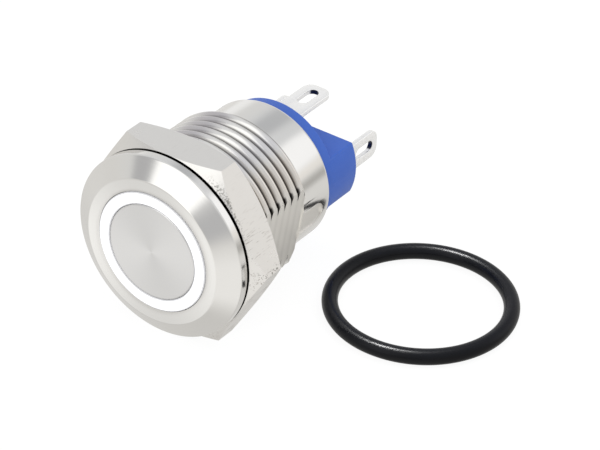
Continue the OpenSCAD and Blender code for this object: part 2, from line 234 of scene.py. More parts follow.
def milledFinishGroup():
    # broken streaks along the barrel, as a broach or mill leaves them on a flat
    tree, gin, gout = newGroup(
        "milledFinish",
        [("Tone", "NodeSocketColor", (0.7, 0.7, 0.7, 1)), ("Streak Tone", "NodeSocketColor", (0.35, 0.33, 0.3, 1)),
         ("Rough", "NodeSocketFloat", 0.3), ("Streaks", "NodeSocketFloat", 0.5), ("Line Depth", "NodeSocketFloat", 0.3)],
        [("Color", "NodeSocketColor"), ("Roughness", "NodeSocketFloat"), ("Normal", "NodeSocketVector")])
    coord = tree.nodes.new("ShaderNodeTexCoord")
    stretch = tree.nodes.new("ShaderNodeMapping")
    stretch.inputs["Scale"].default_value = (1.0, 0.12, 1.0)
    tree.links.new(coord.outputs["Object"], stretch.inputs["Vector"])
    fine = noiseNode(tree, stretch.outputs[0], 7000.0, 2.0, 0.5)
    broad = noiseNode(tree, coord.outputs["Object"], 420.0, 3.0, 0.55)
    dash = mathNode(tree, "MULTIPLY", mathNode(tree, "SUBTRACT", fine, 0.585, True), 15.0, True)
    patch = mathNode(tree, "MULTIPLY", mathNode(tree, "SUBTRACT", broad, 0.40, True), 5.0, True)
    mask = mathNode(tree, "MULTIPLY", mathNode(tree, "MULTIPLY", dash, patch), gin.outputs["Streaks"], True)
    tree.links.new(mixColor(tree, mask, gin.outputs["Tone"], gin.outputs["Streak Tone"]), gout.inputs["Color"])
    tree.links.new(mathNode(tree, "ADD", gin.outputs["Rough"], mathNode(tree, "MULTIPLY", broad, 0.1), True),
                   gout.inputs["Roughness"])
    tree.links.new(bumpNode(tree, fine, 0.00002, gin.outputs["Line Depth"]), gout.inputs["Normal"])
    return tree


def mouldedFinishGroup():
    # a moulded skin: faint cloudiness in the colour and a fine orange peel
    tree, gin, gout = newGroup(
        "mouldedFinish",
        [("Tone", "NodeSocketColor", (0.5, 0.5, 0.5, 1)), ("Deep Tone", "NodeSocketColor", (0.4, 0.4, 0.4, 1)),
         ("Rough", "NodeSocketFloat", 0.45), ("Grain", "NodeSocketFloat", 0.2), ("Grain Size", "NodeSocketFloat", 4000.0)],
        [("Color", "NodeSocketColor"), ("Roughness", "NodeSocketFloat"), ("Normal", "NodeSocketVector")])
    coord = tree.nodes.new("ShaderNodeTexCoord")
    cloud = noiseNode(tree, coord.outputs["Object"], 300.0, 3.0, 0.5)
    grain = tree.nodes.new("ShaderNodeTexNoise")
    grain.inputs["Detail"].default_value = 2.0
    tree.links.new(coord.outputs["Object"], grain.inputs["Vector"])
    tree.links.new(gin.outputs["Grain Size"], grain.inputs["Scale"])
    tree.links.new(mixColor(tree, cloud, gin.outputs["Tone"], gin.outputs["Deep Tone"]), gout.inputs["Color"])
    tree.links.new(mathNode(tree, "ADD", gin.outputs["Rough"], mathNode(tree, "MULTIPLY", cloud, 0.08), True),
                   gout.inputs["Roughness"])
    tree.links.new(bumpNode(tree, grain.outputs["Fac"], 0.00003, gin.outputs["Grain"]), gout.inputs["Normal"])
    return tree


def bandMaskGroup():
    # 1 inside Low to High and 0 outside, with a ramp of the width Soft at both ends
    tree, gin, gout = newGroup(
        "bandMask", [("Value", "NodeSocketFloat", 0.0), ("Low", "NodeSocketFloat", 0.0),
                     ("High", "NodeSocketFloat", 1.0), ("Soft", "NodeSocketFloat", 0.1)],
        [("Mask", "NodeSocketFloat")])
    rise = mathNode(tree, "DIVIDE", mathNode(tree, "SUBTRACT", gin.outputs["Value"], gin.outputs["Low"]),
                    gin.outputs["Soft"])
    fall = mathNode(tree, "DIVIDE", mathNode(tree, "SUBTRACT", gin.outputs["High"], gin.outputs["Value"]),
                    gin.outputs["Soft"])
    both = mathNode(tree, "MINIMUM", mathNode(tree, "ADD", rise, 0.5, True), mathNode(tree, "ADD", fall, 0.5, True))
    smooth = mathNode(tree, "MULTIPLY", mathNode(tree, "MULTIPLY", both, both), mathNode(
        tree, "SUBTRACT", 3.0, mathNode(tree, "MULTIPLY", both, 2.0)))
    tree.links.new(smooth, gout.inputs["Mask"])
    return tree


bandMask = bandMaskGroup()


def band(tree, value, low, high, soft):
    node = tree.nodes.new("ShaderNodeGroup")
    node.node_tree = bandMask
    tree.links.new(value, node.inputs["Value"])
    for label, number in (("Low", low), ("High", high), ("Soft", soft)):
        node.inputs[label].default_value = number
    return node.outputs["Mask"]


def barrelCoords(tree):
    # radius and depth in millimetres, the angle from 3 o'clock in degrees, and the object normal
    coord = tree.nodes.new("ShaderNodeTexCoord")
    split = tree.nodes.new("ShaderNodeSeparateXYZ")
    tree.links.new(coord.outputs["Object"], split.inputs[0])
    radius = mathNode(tree, "MULTIPLY", mathNode(tree, "SQRT", mathNode(
        tree, "ADD", mathNode(tree, "MULTIPLY", split.outputs["X"], split.outputs["X"]),
        mathNode(tree, "MULTIPLY", split.outputs["Z"], split.outputs["Z"]))), 1000.0)
    depth = mathNode(tree, "MULTIPLY", split.outputs["Y"], 1000.0)
    angle = mathNode(tree, "MULTIPLY", mathNode(tree, "ARCTAN2", split.outputs["Z"], split.outputs["X"]),
                     180 / math.pi)
    return radius, depth, angle, coord.outputs["Normal"]


def product(tree, *masks):
    value = masks[0]
    for mask in masks[1:]:
        value = mathNode(tree, "MULTIPLY", value, mask)
    return value


def relink(material, label, change):
    # puts a change between what feeds a shader input and the input itself
    tree = material.node_tree
    socket = tree.nodes["Principled BSDF"].inputs[label]
    source = socket.links[0].from_socket if socket.links else None
    tree.links.new(change(tree, source), socket)


latheFinishAndSheen = makeLatheFinishAndSheen()
milledFinish = milledFinishGroup()
mouldedFinish = mouldedFinishGroup()


def finishMaterial(name, group, values, shader):
    material = bpy.data.materials.new(name)
    material.use_nodes = True
    tree = material.node_tree
    bsdf = tree.nodes["Principled BSDF"]
    place = tree.nodes.new("ShaderNodeGroup")
    place.node_tree = group
    for label, value in values.items():
        place.inputs[label].default_value = value
    tree.links.new(place.outputs["Color"], bsdf.inputs["Base Color"])
    tree.links.new(place.outputs["Roughness"], bsdf.inputs["Roughness"])
    tree.links.new(place.outputs["Normal"], bsdf.inputs["Normal"])
    for label, value in shader.items():
        bsdf.inputs[label].default_value = value
    return material


# Wedge is the strength of the painted sheen on turned faces, and Wedge Angle turns it round the barrel
finishes = {
    "shellNickel": (latheFinishAndSheen, {"Tone": (0.80, 0.79, 0.77, 1), "Dark Tone": (0.70, 0.69, 0.67, 1), "Rough": 0.13,
                                   "Rough Spread": 0.05, "Line Depth": 0.10, "Stain": 0.4, "Wedge": 0.13,
                                   "Wedge Angle": 0.20}, {"Metallic": 1.0}),
    "capSteel": (latheFinishAndSheen, {"Tone": (0.74, 0.735, 0.73, 1), "Dark Tone": (0.69, 0.685, 0.68, 1), "Rough": 0.30,
                                "Rough Spread": 0.12, "Line Depth": 0.5, "Stain": 0.3, "Wedge": 0.06,
                                "Wedge Angle": 0.36}, {"Metallic": 1.0}),
    "nutNickel": (milledFinish, {"Tone": (0.80, 0.785, 0.76, 1), "Streak Tone": (0.34, 0.31, 0.28, 1), "Rough": 0.24,
                                 "Streaks": 0.6, "Line Depth": 0.3}, {"Metallic": 1.0}),
    "terminalTin": (milledFinish, {"Tone": (0.97, 0.965, 0.955, 1), "Streak Tone": (0.7, 0.69, 0.67, 1), "Rough": 0.2,
                                   "Streaks": 0.3, "Line Depth": 0.2}, {"Metallic": 0.62}),
    "springSteel": (latheFinishAndSheen, {"Tone": (0.6, 0.6, 0.6, 1), "Dark Tone": (0.45, 0.45, 0.45, 1), "Rough": 0.2,
                                   "Rough Spread": 0.05, "Line Depth": 0.1, "Stain": 0.5}, {"Metallic": 1.0}),
    "contactBrass": (milledFinish, {"Tone": (0.78, 0.6, 0.28, 1), "Streak Tone": (0.45, 0.32, 0.12, 1), "Rough": 0.3,
                                    "Streaks": 0.4, "Line Depth": 0.2}, {"Metallic": 1.0}),
    "contactSilver": (latheFinishAndSheen, {"Tone": (0.88, 0.88, 0.86, 1), "Dark Tone": (0.6, 0.6, 0.58, 1), "Rough": 0.2,
                                     "Rough Spread": 0.05, "Line Depth": 0.1, "Stain": 0.6}, {"Metallic": 1.0}),
    "litPlastic": (mouldedFinish, {"Tone": (0.97, 0.97, 0.98, 1), "Deep Tone": (0.93, 0.93, 0.95, 1), "Rough": 0.35,
                                   "Grain": 0.05}, {"Emission Color": (1, 1, 1, 1), "Emission Strength": 0.55}),
    "basePlastic": (mouldedFinish, {"Tone": (0.052, 0.142, 0.57, 1), "Deep Tone": (0.044, 0.125, 0.52, 1), "Rough": 0.42,
                                    "Grain": 0.25}, {"Specular IOR Level": 0.28}),
    "sealRubber": (mouldedFinish, {"Tone": (0.0022, 0.0025, 0.0042, 1), "Deep Tone": (0.001, 0.0012, 0.002, 1),
                                   "Rough": 0.26, "Grain": 0.3, "Grain Size": 2600.0}, {"Specular IOR Level": 0.17}),
    "wiperRubber": (mouldedFinish, {"Tone": (0.06, 0.06, 0.06, 1), "Deep Tone": (0.04, 0.04, 0.04, 1), "Rough": 0.6,
                                    "Grain": 0.3}, {}),
    "ivoryPlastic": (mouldedFinish, {"Tone": (0.82, 0.78, 0.66, 1), "Deep Tone": (0.76, 0.72, 0.6, 1), "Rough": 0.5,
                                     "Grain": 0.2}, {}),
    "boardGreen": (mouldedFinish, {"Tone": (0.04, 0.24, 0.1, 1), "Deep Tone": (0.03, 0.18, 0.08, 1), "Rough": 0.35,
                                   "Grain": 0.3, "Grain Size": 2500.0}, {}),
    "lampYellow": (mouldedFinish, {"Tone": (0.95, 0.9, 0.6, 1), "Deep Tone": (0.9, 0.84, 0.5, 1), "Rough": 0.2,
                                   "Grain": 0.05}, {}),
    "chipBlack": (mouldedFinish, {"Tone": (0.03, 0.03, 0.03, 1), "Deep Tone": (0.02, 0.02, 0.02, 1), "Rough": 0.4,
                                  "Grain": 0.2}, {}),
    "pottingResin": (mouldedFinish, {"Tone": (0.03, 0.03, 0.035, 1), "Deep Tone": (0.02, 0.02, 0.025, 1),
                                     "Rough": 0.15, "Grain": 0.1, "Grain Size": 900.0}, {}),
}
materials = {name: finishMaterial(name, *settings) for name, settings in finishes.items()}


# painted reflections: soft coloured bands along the thread, by angle round the barrel, where it mirrors the room
threadReflections = [
    # from angle, to angle, softness, share, tone
    (94, 118, 16, 0.50, (0.36, 0.33, 0.37)),
    (54, 70, 14, 0.35, (0.56, 0.56, 0.62)),
    (26, 50, 14, 0.50, (0.70, 0.63, 0.56)),
]


def markShell(material):
    tree = material.node_tree
    radius, depth, angle, normal = barrelCoords(tree)
    flatFace = tree.nodes.new("ShaderNodeVectorMath")
    flatFace.operation = "DOT_PRODUCT"
    tree.links.new(normal, flatFace.inputs[0])
    tilt = math.radians(9)
    flatFace.inputs[1].default_value = (math.cos(tilt), 0, -math.sin(tilt))
    onFlat = product(tree, band(tree, flatFace.outputs["Value"], 0.985, 1.1, 0.02), band(tree, depth, 0.2, 11.2, 0.1),
                     band(tree, radius, 6.6, 8.2, 0.1))
    inPocket = product(tree, band(tree, flatFace.outputs["Value"], 0.985, 1.1, 0.02),
                       band(tree, depth, 11.1, 14.3, 0.1), band(tree, radius, 6.6, 6.93, 0.04))
    offFlat = mathNode(tree, "SUBTRACT", 1.0, onFlat)
    inThread = product(tree, band(tree, depth, 0.0, 11.05, 0.1), band(tree, radius, 7.3, 9.0, 0.04), offFlat)
    # painted shade with some dirt: the thread's grooves are darkened, more strongly from 0 to 50 degrees
    groove = product(tree, inThread, band(tree, radius, 0.0, 7.70, 0.30))
    phase = mathNode(tree, "FRACT", mathNode(tree, "SUBTRACT", depth, 0.42))
    # painted shade with dirt and burrs: dark dots where the grooves run out onto the flat
    ends = product(tree, band(tree, phase, 0.27, 0.73, 0.14), band(tree, angle, 14.0, 25.6, 2.4),
                   band(tree, depth, 3.5, 11.0, 0.2), band(tree, radius, 7.2, 7.9, 0.1), offFlat)
    depthOfLine = mathNode(tree, "ADD", mathNode(tree, "MULTIPLY", band(tree, angle, 0.0, 50.0, 34.0), 0.30), 0.56)
    # painted shade in the gap between the back of the flange and the nut
    gap = product(tree, band(tree, depth, -0.03, 0.6, 0.05), band(tree, radius, 6.8, 8.93, 0.06))
    dark = mathNode(tree, "MAXIMUM", mathNode(tree, "MULTIPLY", groove, depthOfLine), mathNode(
        tree, "MAXIMUM", mathNode(tree, "MULTIPLY", ends, 0.95), gap), True)
    ripple = band(tree, phase, 0.30, 0.70, 0.4)

    def paintedLightAndFlat(t, source):
        # painted reflections that lie along the thread as soft bands, then the flat with its faint ripples, then the
        # painted shade of the grooves, the groove ends and the gap behind the flange
        for low, high, soft, share, tone in threadReflections:
            mask = mathNode(t, "MULTIPLY", product(t, inThread, band(t, angle, low, high, soft)), share)
            source = mixColor(t, mask, source, tone + (1,))
        source = mixColor(t, mathNode(t, "MAXIMUM", onFlat, inPocket), source, (0.90, 0.88, 0.84, 1))
        source = mixColor(t, mathNode(t, "MULTIPLY", product(t, onFlat, ripple), 0.30), source, (0.70, 0.68, 0.64, 1))
        return mixColor(t, dark, source, (0.035, 0.032, 0.03, 1))

    relink(material, "Base Color", paintedLightAndFlat)
    relink(material, "Roughness", lambda t, s: mathNode(t, "ADD", s, mathNode(
        t, "ADD", mathNode(t, "MULTIPLY", mathNode(t, "MAXIMUM", onFlat, inPocket), 0.34),
        mathNode(t, "MULTIPLY", inThread, 0.08)), True))


def markNut(material):
    tree = material.node_tree
    radius, depth, angle, normal = barrelCoords(tree)
    # painted shade on the nut's front face, in the narrow gap that faces the flange
    front = product(tree, band(tree, depth, 0.0, 0.33, 0.03), band(tree, radius, 7.5, 8.96, 0.06))
    coord = tree.nodes.new("ShaderNodeTexCoord")
    speck = noiseNode(tree, coord.outputs["Object"], 5200.0, 2.0, 0.6)
    flecks = mathNode(tree, "MAXIMUM", product(
        tree, band(tree, speck, 0.53, 2.0, 0.08), band(tree, depth, 0.1, 0.62, 0.45), band(tree, angle, 26.0, 60.0, 14.0)),
        product(tree, band(tree, speck, 0.59, 2.0, 0.05), band(tree, depth, 0.6, 4.2, 0.8),
                band(tree, angle, -2.5, 2.5, 3.0)))
    place = [n for n in tree.nodes if n.type == "GROUP" and n.node_tree == milledFinish][0]
    streaks = product(tree, band(tree, angle, -62.0, 58.0, 4.0), band(tree, angle, -80.0, 22.0, 40.0))
    tree.links.new(mathNode(tree, "ADD", mathNode(tree, "MULTIPLY", streaks, 0.85), 0.06), place.inputs["Streaks"])
    dark = mathNode(tree, "MAXIMUM", front, mathNode(tree, "MULTIPLY", flecks, 0.6), True)
    relink(material, "Base Color", lambda t, s: mixColor(t, dark, s, (0.05, 0.045, 0.03, 1)))


def markTerminal(material):
    # painted reflection: the wall at the wire slot's far end, like every face that looks to the front, is painted dark,
    # as it sees only the dark room
    tree = material.node_tree
    coord = tree.nodes.new("ShaderNodeTexCoord")
    facing = tree.nodes.new("ShaderNodeSeparateXYZ")
    tree.links.new(coord.outputs["Normal"], facing.inputs[0])
    wall = band(tree, mathNode(tree, "MULTIPLY", facing.outputs["Y"], -1.0), 0.55, 2.0, 0.3)
    relink(material, "Base Color", lambda t, s: mixColor(t, wall, s, (0.02, 0.024, 0.045, 1)))


def markRing(material):
    # only the middle of the ring's face glows; its two edges get a darker grey colour, painted shade of the narrow gaps
    # beside the cap and the bezel
    tree = material.node_tree
    radius, depth, angle, normal = barrelCoords(tree)
    glow = band(tree, radius, 4.85, 5.74, 0.14)
    relink(material, "Base Color", lambda t, s: mixColor(t, glow, (0.80, 0.80, 0.82, 1), s))
    relink(material, "Emission Strength", lambda t, s: mathNode(t, "MULTIPLY", glow, 0.55))


markShell(materials["shellNickel"])
markNut(materials["nutNickel"])
markTerminal(materials["terminalTin"])
markRing(materials["litPlastic"])
print("materials made:", len(materials))


# the turned shell with its helical thread and milled flat

shellLook = {
    "grooveAtAngleZero": 0.99,   # depth of a groove's middle at 3 o'clock
    "profileRows": 16,
    "crestBreadth": 2.2,          # above 1 the crests are broad and the grooves narrow
    "threadSteps": 128,
    "mouthWidth": 0.30,
    "mouthDepth": 0.10,
    "flatDistance": 6.70,
    "flatAngle": 9.0,
    "flatStart": 0.2,
    "pocketEnd": 14.2,
    "pocketRadius": 1.2,
    "pocketDistance": 6.80,
    "rimRound": 0.4,
    "edge": 0.045,
}


def roundedOutline(corners, steps=4):
    # corners are (radius, depth, round); each round is a short curve between the two sides
    points = []
    for before, here, after in zip(corners[-1:] + corners[:-1], corners, corners[1:] + corners[:1]):
        corner, size = Vector(here[:2]), here[2]
        if not size:
            points.append(tuple(corner))
            continue
        back, onward = (Vector(before[:2]) - corner).normalized(), (Vector(after[:2]) - corner).normalized()
        start, end = corner + back * size, corner + onward * size
        points.append(tuple(corner + back * (size + 0.03)))   # keeps the shading of the long side flat
        for i in range(steps + 1):
            t = i / steps
            point = start * (1 - t) ** 2 + corner * 2 * t * (1 - t) + end * t ** 2
            points.append(tuple(point))
        points.append(tuple(corner + onward * (size + 0.03)))
    return points


def outerBody():
    b = barrel
    rim = [(b["sleeveRadius"] - shellLook["rimRound"] * (1 - math.cos(a)),
            b["sleeveEnd"] - shellLook["rimRound"] * (1 - math.sin(a)))
           for a in [math.radians(10 * i) for i in range(10)]]
    core = b["threadRoot"] - 0.1
    front = -b["flangeThick"]
    edge = shellLook["edge"]
    corners = [(0, front, 0), (b["bezelFlatRadius"], front, 2 * edge),
               (b["bezelRadius"], front + b["bezelChamfer"], 2 * edge), (b["bezelRadius"], 0, edge), (core, 0, 0),
               (core, b["threadLength"] - 0.05, 0), (b["sleeveRadius"], b["threadLength"] - 0.05, 0)]
    corners += [(r, y, 0) for r, y in rim] + [(0, b["sleeveEnd"], 0)]
    return meshObject("turnedShell", latheProfile(roundedOutline(corners), 224))


def threadedRod():
    b, look = barrel, shellLook
    pitch, crest, root = b["threadPitch"], b["threadRadius"], b["threadRoot"]
    half = pitch / 2
    rows = look["profileRows"]
    shares = [-1 + 2 * i / rows for i in range(rows + 1)]   # -1 and 1 are crests, 0 is a groove's middle
    shares = [math.copysign(abs(s) ** 1.5, s) for s in shares]
    fine = [(crest - (crest - root) * (1 - abs(s)) ** look["crestBreadth"], half * s) for s in shares]
    turns = math.ceil(b["threadLength"] / pitch) + 3
    start = look["grooveAtAngleZero"] - 2 * pitch
    bm = bmesh.new()
    ring = [bm.verts.new((r, start + y, 0)) for r, y in fine]
    edges = [bm.edges.new(pair) for pair in zip(ring, ring[1:])]
    steps = look["threadSteps"]
    bmesh.ops.spin(bm, geom=ring + edges, cent=(0, 0, 0), axis=(0, 1, 0), dvec=(0, pitch / steps, 0),
                   angle=math.tau * turns, steps=steps * turns, use_merge=False, use_duplicate=False)
    bmesh.ops.remove_doubles(bm, verts=bm.verts, dist=1e-4)
    ends = ((-0.4, -1), (b["threadLength"], 1))
    for depth, side in ends:
        bmesh.ops.bisect_plane(bm, geom=bm.verts[:] + bm.edges[:] + bm.faces[:], plane_co=(0, depth, 0),
                               plane_no=(0, side, 0), clear_outer=True)
    shoulder = b["threadLength"] - b["threadChamfer"]
    bmesh.ops.bisect_plane(bm, geom=bm.verts[:] + bm.edges[:] + bm.faces[:], plane_co=(0, shoulder, 0),
                           plane_no=(0, 1, 0))
    for vert in bm.verts:
        limit = crest - max(0.0, vert.co.y - shoulder)
        radius = math.hypot(vert.co.x, vert.co.z)
        if radius > limit:
            vert.co.x *= limit / radius
            vert.co.z *= limit / radius
    for depth, side in ends:
        loop = [e for e in bm.edges if e.is_boundary and all(abs(v.co.y - depth) < 1e-4 for v in e.verts)]
        bmesh.ops.edgeloop_fill(bm, edges=loop)
    bmesh.ops.recalc_face_normals(bm, faces=bm.faces)
    return meshObject("threadedRod", bm)


def boreCutter():
    b = barrel
    front, back = -b["flangeThick"] - 0.5, b["sleeveEnd"] + 0.5
    lead, leadDepth = shellLook["mouthWidth"], shellLook["mouthDepth"]
    points = [(0, front), (b["boreRadius"] + lead * (1 + 0.5 / leadDepth), front), (b["boreRadius"], front + 0.5 + leadDepth),
              (b["boreRadius"], b["shoulderY"]), (b["collarBore"], b["shoulderY"]), (b["collarBore"], b["boardY"]),
              (b["rearBore"], b["boardY"]), (b["rearBore"], back), (0, back)]
    return meshObject("boreCutter", latheProfile(points))


def flatCutter(name, outline, distance):
    bm = bmesh.new()
    face = bm.faces.new([bm.verts.new((distance, y, z)) for z, y in outline])
    extruded = bmesh.ops.extrude_face_region(bm, geom=[face])
    moved = [v for v in extruded["geom"] if isinstance(v, bmesh.types.BMVert)]
    bmesh.ops.translate(bm, verts=moved, vec=(2.5, 0, 0))
    bmesh.ops.rotate(bm, verts=bm.verts, cent=(0, 0, 0),
                     matrix=Matrix.Rotation(math.radians(shellLook["flatAngle"]), 3, "Y"))
    bmesh.ops.recalc_face_normals(bm, faces=bm.faces)
    return meshObject(name, bm)


def flatOutlines():
    look = shellLook
    wide, narrow = barrel["threadRadius"] + 1, look["pocketRadius"]
    over = barrel["threadLength"] + 0.05
    middle = look["pocketEnd"] - narrow
    arc = [(narrow * math.cos(a), middle + narrow * math.sin(a)) for a in
           [math.radians(7.5 * i) for i in range(25)]]
    flat = [(-wide, look["flatStart"]), (wide, look["flatStart"]), (wide, over), (-wide, over)]
    return flat, [(-narrow, over - 0.3), (narrow, over - 0.3)] + arc


shell = outerBody()
combine(shell, threadedRod(), "UNION")
combine(shell, boreCutter(), "DIFFERENCE")
flatOutline, pocketOutline = flatOutlines()
combine(shell, flatCutter("flatCutter", flatOutline, shellLook["flatDistance"]), "DIFFERENCE")
combine(shell, flatCutter("pocketCutter", pocketOutline, shellLook["pocketDistance"]), "DIFFERENCE")
finishPiece(shell, materials["shellNickel"], "housing", ["shell"])
print("shell made:", len(shell.data.polygons), "faces")


# the hex nut with its corner chamfers

nutLook = {"acrossFlats": 18.0, "thick": 3.55, "front": 0.3, "bore": 8.05, "chamferAngle": 30.0, "leadIn": 0.4,
           "steps": 240}


def hexNut():
    # one outline for each angle: the corners reach further out, so the chamfer cone cuts them deeper
    look = nutLook
    face, bore, lead = look["acrossFlats"] / 2, look["bore"], look["leadIn"]
    front, back = look["front"], look["front"] + look["thick"]
    slope = math.tan(math.radians(look["chamferAngle"]))
    bm = bmesh.new()
    rows = []
    for i in range(look["steps"]):
        angle = math.tau * i / look["steps"]
        reach = face / math.cos(angle % (math.pi / 3) - math.pi / 6)
        drop = (reach - face) * slope
        outline = [(bore + lead, front), (face, front), (reach, front + drop), (reach, back - drop), (face, back),
                   (bore + lead, back), (bore, back - lead), (bore, front + lead)]
        rows.append([bm.verts.new((r * math.cos(angle), y, r * math.sin(angle))) for r, y in outline])
    for row, after in zip(rows, rows[1:] + rows[:1]):
        for j in range(len(row)):
            k = (j + 1) % len(row)
            bm.faces.new((row[j], row[k], after[k], after[j]))
    bmesh.ops.remove_doubles(bm, verts=bm.verts, dist=1e-5)
    bmesh.ops.dissolve_degenerate(bm, edges=bm.edges, dist=1e-5)
    bmesh.ops.recalc_face_normals(bm, faces=bm.faces)
    return meshObject("hexNut", bm)


hexNutPiece = hexNut()
finishPiece(hexNutPiece, materials["nutNickel"], "nut", ["hex_nut"], 12)
print("nut made:", len(hexNutPiece.data.polygons), "faces")


# the pressed cap and the lit ring

capLook = {"radius": 4.70, "thick": 0.8, "stem": 1.5, "stemEnd": 2.2, "round": 0.16}
ringLook = {"outer": 5.88, "inner": 4.72, "end": 3.2, "round": 0.09, "collar": 6.1, "collarY": 1.55, "collarEnd": 2.35,
            "grooveRadius": 5.2, "grooveY": -0.2, "grooveEnd": 0.76, "stem": 1.52}


def quarter(radius, y, size, start, end, count=4):
    # points on a small round, from one angle to the other in degrees
    return [(radius + size * math.cos(math.radians(a)), y + size * math.sin(math.radians(a)))
            for a in [start + (end - start) * i / count for i in range(count + 1)]]


def buttonCap():
    look = capLook
    front = -barrel["flangeThick"]
    edge = look["round"]
    points = [(0, front), (2.0, front), (look["radius"] - edge - 0.04, front)] + quarter(look["radius"] - edge, front + edge, edge, -90, 0) \
        + [(look["radius"], front + look["thick"]), (look["stem"], front + look["thick"]),
           (look["stem"], look["stemEnd"]), (0, look["stemEnd"])]
    return meshObject("buttonCap", latheProfile(points, 192))


def lightRing():
    look = ringLook
    front = -barrel["flangeThick"]
    floor = front + capLook["thick"]
    edge = look["round"]
    points = [(0, look["end"]), (0, capLook["stemEnd"]), (look["stem"], capLook["stemEnd"]), (look["stem"], floor),
              (look["inner"], floor)] + quarter(look["inner"] + edge, front + edge, edge, 180, 270) \
        + quarter(look["outer"] - edge, front + edge, edge, -90, 0) \
        + [(look["outer"], look["grooveY"]), (look["grooveRadius"], look["grooveY"]),
           (look["grooveRadius"], look["grooveEnd"]), (look["outer"], look["grooveEnd"]),
           (look["outer"], look["collarY"]), (look["collar"], look["collarY"]),
           (look["collar"], look["collarEnd"]), (look["outer"], look["collarEnd"]), (look["outer"], look["end"])]
    return meshObject("lightRing", latheProfile(points, 192))


capPiece = finishPiece(buttonCap(), materials["capSteel"], "button", ["button_cap"])
ringPiece = finishPiece(lightRing(), materials["litPlastic"], "button", ["light_ring"])
print("cap and lit ring made")


# the panel seal beside the button

sealLook = {"section": 0.75, "centreRadius": 8.25, "x": 16.7, "y": 16.2, "floor": -9.0}


def panelSeal():
    look = sealLook
    bm = bmesh.new()
    made = bmesh.ops.create_circle(bm, cap_ends=False, segments=40, radius=look["section"])
    bmesh.ops.rotate(bm, verts=made["verts"], cent=(0, 0, 0), matrix=Matrix.Rotation(math.radians(90), 3, "X"))
    bmesh.ops.translate(bm, verts=bm.verts, vec=(look["centreRadius"], 0, 0))
    bmesh.ops.spin(bm, geom=bm.verts[:] + bm.edges[:], cent=(0, 0, 0), axis=(0, 0, 1), dvec=(0, 0, 0),
                   angle=math.tau, steps=240, use_merge=True, use_duplicate=False)
    bmesh.ops.remove_doubles(bm, verts=bm.verts, dist=1e-5)
    bmesh.ops.translate(bm, verts=bm.verts, vec=(look["x"], look["y"], look["floor"] + look["section"]))
    bmesh.ops.recalc_face_normals(bm, faces=bm.faces)
    return meshObject("panelSeal", bm)


sealPiece = finishPiece(panelSeal(), materials["sealRubber"], "housing", ["panel_seal"], 60)
print("panel seal made")


# blades, the blue base and the slots between them

bladeLook = {"width": 2.8, "thick": 0.5, "corner": 1.0, "slotWidth": 1.1, "slotLength": 2.6, "slotMargin": 0.8,
             "switchX": 4.9, "switchStart": 10.25, "switchEnd": 25.3, "lampZ": 4.6, "lampStart": 12.3, "lampEnd": 23.3,
             "footInner": 2.4, "edge": 0.09}
baseLook = {"rim": 6.4, "rimThick": 1.5, "barWidth": 5.3, "barHeight": 3.4, "skirtInner": 5.65,
            "skirtY": 13.2, "edge": 0.12, "slotGap": 0.04}


def bladeOutline(start, end):
    look = bladeLook
    half, corner = look["width"] / 2, look["corner"]
    right = [(half - corner + corner * math.cos(a), end - corner + corner * math.sin(a))
             for a in [math.radians(7.5 * i) for i in range(13)]]
    left = [(-u, v) for u, v in reversed(right)]
    return [(-half, start), (half, start)] + right + left


def slotOutline(end):
    look = bladeLook
    radius = look["slotWidth"] / 2
    far = end - look["slotMargin"] - radius
    near = far - look["slotLength"] + 2 * radius
    top = [(radius * math.cos(a), far + radius * math.sin(a)) for a in [math.radians(15 * i) for i in range(13)]]
    bottom = [(-radius * math.cos(a), near - radius * math.sin(a)) for a in [math.radians(15 * i) for i in range(13)]]
    return top + bottom


def flatBlade(name, start, end):
    # drawn with its width along Z and its thickness along X
    bm = bmesh.new()
    edges = []
    for outline in (bladeOutline(start, end), slotOutline(end)):
        loop = [bm.verts.new((-bladeLook["thick"] / 2, v, u)) for u, v in outline]
        edges += [bm.edges.new(pair) for pair in zip(loop, loop[1:] + loop[:1])]
    bmesh.ops.triangle_fill(bm, edges=edges, use_beauty=True, use_dissolve=False)
    extruded = bmesh.ops.extrude_face_region(bm, geom=bm.faces[:])
    bmesh.ops.translate(bm, verts=[v for v in extruded["geom"] if isinstance(v, bmesh.types.BMVert)],
                        vec=(bladeLook["thick"], 0, 0))
    bmesh.ops.recalc_face_normals(bm, faces=bm.faces)
    softenEdges(bm, bladeLook["edge"], 3, math.radians(50))
    return meshObject(name, bm)


def blockObject(name, low, high):
    bm = bmesh.new()
    bmesh.ops.create_cube(bm, size=1.0)
    size = [h - l for l, h in zip(low, high)]
    bmesh.ops.scale(bm, verts=bm.verts, vec=size)
    bmesh.ops.translate(bm, verts=bm.verts, vec=[(l + h) / 2 for l, h in zip(low, high)])
    return meshObject(name, bm)


def switchTerminal(name, side):
    look = bladeLook
    blade = flatBlade(name, look["switchStart"], look["switchEnd"])
    blade.data.transform(Matrix.Translation((look["switchX"], 0, 0)))
    foot = blockObject("foot", (look["footInner"], look["switchStart"], -look["width"] / 2),
                       (look["switchX"], look["switchStart"] + look["thick"], look["width"] / 2))
    combine(blade, foot, "UNION")
    if side < 0:
        blade.data.transform(Matrix.Rotation(math.pi, 4, "Y"))
    return blade


def lampTerminal(name, side):
    look = bladeLook
    blade = flatBlade(name, look["lampStart"], look["lampEnd"])
    blade.data.transform(Matrix.Translation((look["lampZ"], 0, 0)))
    blade.data.transform(Matrix.Rotation(-side * math.pi / 2, 4, "Y"))
    return blade


for name, node, side in (("switchTerminalLeft", "switch_terminal_left", -1),
                         ("switchTerminalRight", "switch_terminal_right", 1)):
    finishPiece(switchTerminal(name, side), materials["terminalTin"], "housing", [node], 40)
for name, node, side in (("lampTerminalTop", "led_terminal_top", 1), ("lampTerminalBottom", "led_terminal_bottom", -1)):
    finishPiece(lampTerminal(name, side), materials["terminalTin"], "housing", [node], 40)
print("terminals made")


